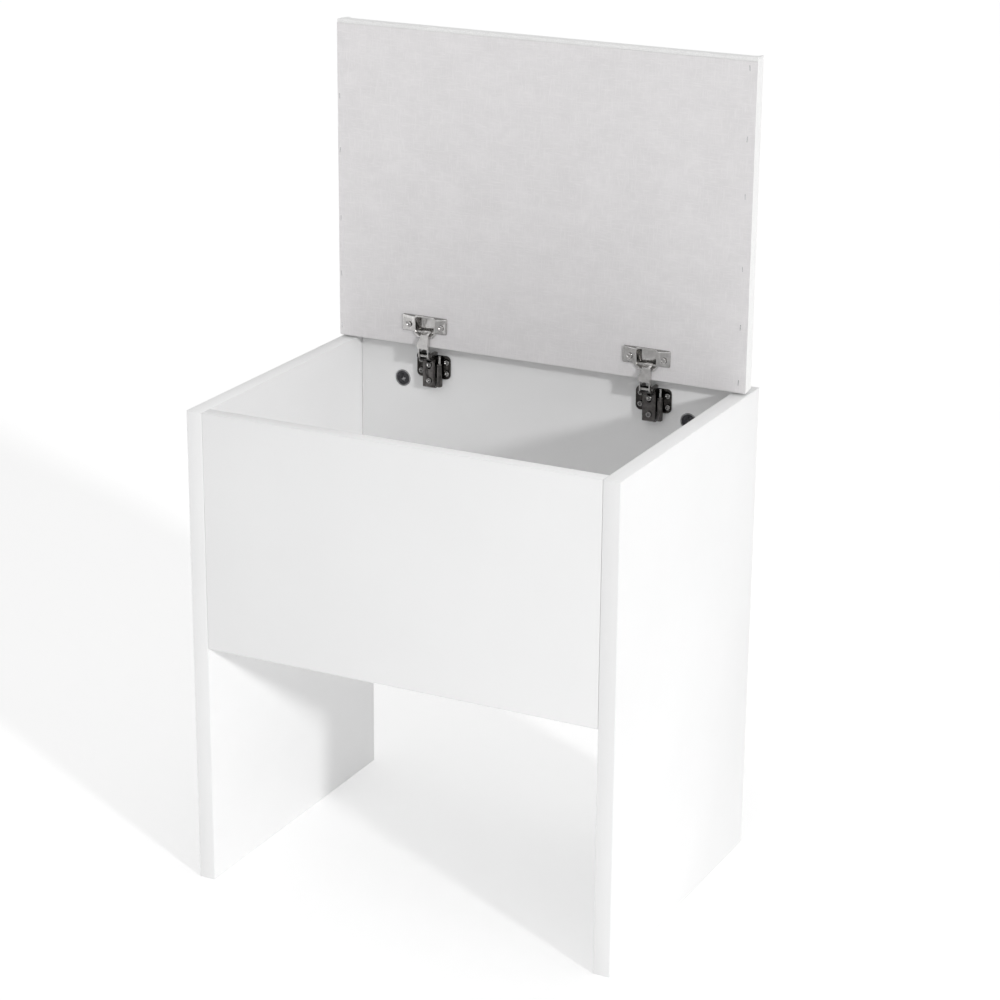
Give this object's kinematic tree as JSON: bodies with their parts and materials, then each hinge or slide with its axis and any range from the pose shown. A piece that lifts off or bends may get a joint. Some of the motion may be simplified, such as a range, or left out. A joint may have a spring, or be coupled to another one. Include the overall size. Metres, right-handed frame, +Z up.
{
  "type": "storage stool",
  "caption": "Storage stool with full-height side panels as legs, an open-topped box between them and a padded lid on soft-close link hinges.",
  "frame": {"origin": "centre of the stool's footprint on the floor", "axes": "+Z up, +Y towards the back, +X towards the right side seen from the front"},
  "size_m": [0.4, 0.29, 0.7256],
  "materials": {
    "white_laminate": "smooth white melamine on particleboard, satin",
    "white_leather": "white leather-look upholstery, fine grain, soft sheen",
    "grey_nonwoven": "light grey non-woven dust cover, matte, faintly mottled",
    "foam": "cream polyurethane foam",
    "fibreboard": "raw medium-density fibreboard",
    "beech": "fluted beech dowel, plain",
    "nickel_steel": "bright nickel-plated pressed steel",
    "zinc_steel": "zinc-plated steel",
    "dark_zinc": "dark grey die-cast zinc, satin"
  },
  "bodies": {
    "carcass": {"adjusting_screw_left": "nickel_steel", "adjusting_screw_right": "nickel_steel", "arm_pin_left": "zinc_steel", "arm_pin_right": "zinc_steel", "back_cam_bolt_left": "zinc_steel", "back_cam_bolt_right": "zinc_steel", "back_cam_left": "dark_zinc", "back_cam_right": "dark_zinc", "back_dowel_left": "beech", "back_dowel_right": "beech", "back_panel": "white_laminate", "bottom_front_dowel_left": "beech", "bottom_front_dowel_right": "beech", "bottom_panel": "white_laminate", "bottom_rear_dowel_left": "beech", "bottom_rear_dowel_right": "beech", "damper_cylinder_left": "nickel_steel", "damper_cylinder_right": "nickel_steel", "fixing_screw_left": "nickel_steel", "fixing_screw_right": "nickel_steel", "front_cam_bolt_left": "zinc_steel", "front_cam_bolt_right": "zinc_steel", "front_cam_left": "dark_zinc", "front_cam_right": "dark_zinc", "front_dowel_left": "beech", "front_dowel_right": "beech", "front_panel": "white_laminate", "hinge_arm_left": "nickel_steel", "hinge_arm_right": "nickel_steel", "hinge_plate_left": "nickel_steel", "hinge_plate_right": "nickel_steel", "left_side_panel": "white_laminate", "plate_screw_1_left": "zinc_steel", "plate_screw_1_right": "zinc_steel", "plate_screw_2_left": "zinc_steel", "plate_screw_2_right": "zinc_steel", "plate_screw_3_left": "zinc_steel", "plate_screw_3_right": "zinc_steel", "plate_screw_4_left": "zinc_steel", "plate_screw_4_right": "zinc_steel", "right_side_panel": "white_laminate"},
    "lid": {"cup_pin_left": "zinc_steel", "cup_pin_right": "zinc_steel", "cup_screw_a_left": "nickel_steel", "cup_screw_a_right": "nickel_steel", "cup_screw_b_left": "nickel_steel", "cup_screw_b_right": "nickel_steel", "hinge_cup_left": "nickel_steel", "hinge_cup_right": "nickel_steel", "lid_board": "fibreboard", "lid_cover": "white_leather", "lid_dust_cover": "grey_nonwoven", "lid_foam": "foam"},
    "link_left": {"hinge_link_left": "nickel_steel"},
    "link_right": {"hinge_link_right": "nickel_steel"},
    "plunger_left": {"damper_plunger_left": "zinc_steel"},
    "plunger_right": {"damper_plunger_right": "zinc_steel"}
  },
  "joints": [
    {"name": "lid_hinge", "type": "hinge", "parent": "link_left", "child": "lid", "pos_m": [-0.1112, 0.1155, 0.4492], "axis": [1, 0, 0], "range_deg": [0, 145.85]},
    {"name": "link_left_swing", "type": "hinge", "parent": "carcass", "child": "link_left", "pos_m": [-0.1112, 0.11175, 0.428], "axis": [1, 0, 0], "range_deg": [-56, 0]},
    {"name": "link_right_swing", "type": "hinge", "parent": "carcass", "child": "link_right", "pos_m": [0.107, 0.11175, 0.428], "axis": [1, 0, 0], "range_deg": [-56, 0]},
    {"name": "plunger_left_slide", "type": "slide", "parent": "carcass", "child": "plunger_left", "axis": [0, 0, 1], "range_m": [-0.0061, 0]},
    {"name": "plunger_right_slide", "type": "slide", "parent": "carcass", "child": "plunger_right", "axis": [0, 0, 1], "range_m": [-0.0061, 0]}
  ],
  "couplings": [
    {"joint": "link_left_swing", "follows": "lid_hinge", "ratio": -0.38292},
    {"joint": "link_right_swing", "follows": "lid_hinge", "ratio": -0.38292},
    {"joint": "plunger_left_slide", "follows": "lid_hinge", "m_per_rad": -0.0023571},
    {"joint": "plunger_right_slide", "follows": "lid_hinge", "m_per_rad": -0.0023571}
  ]
}
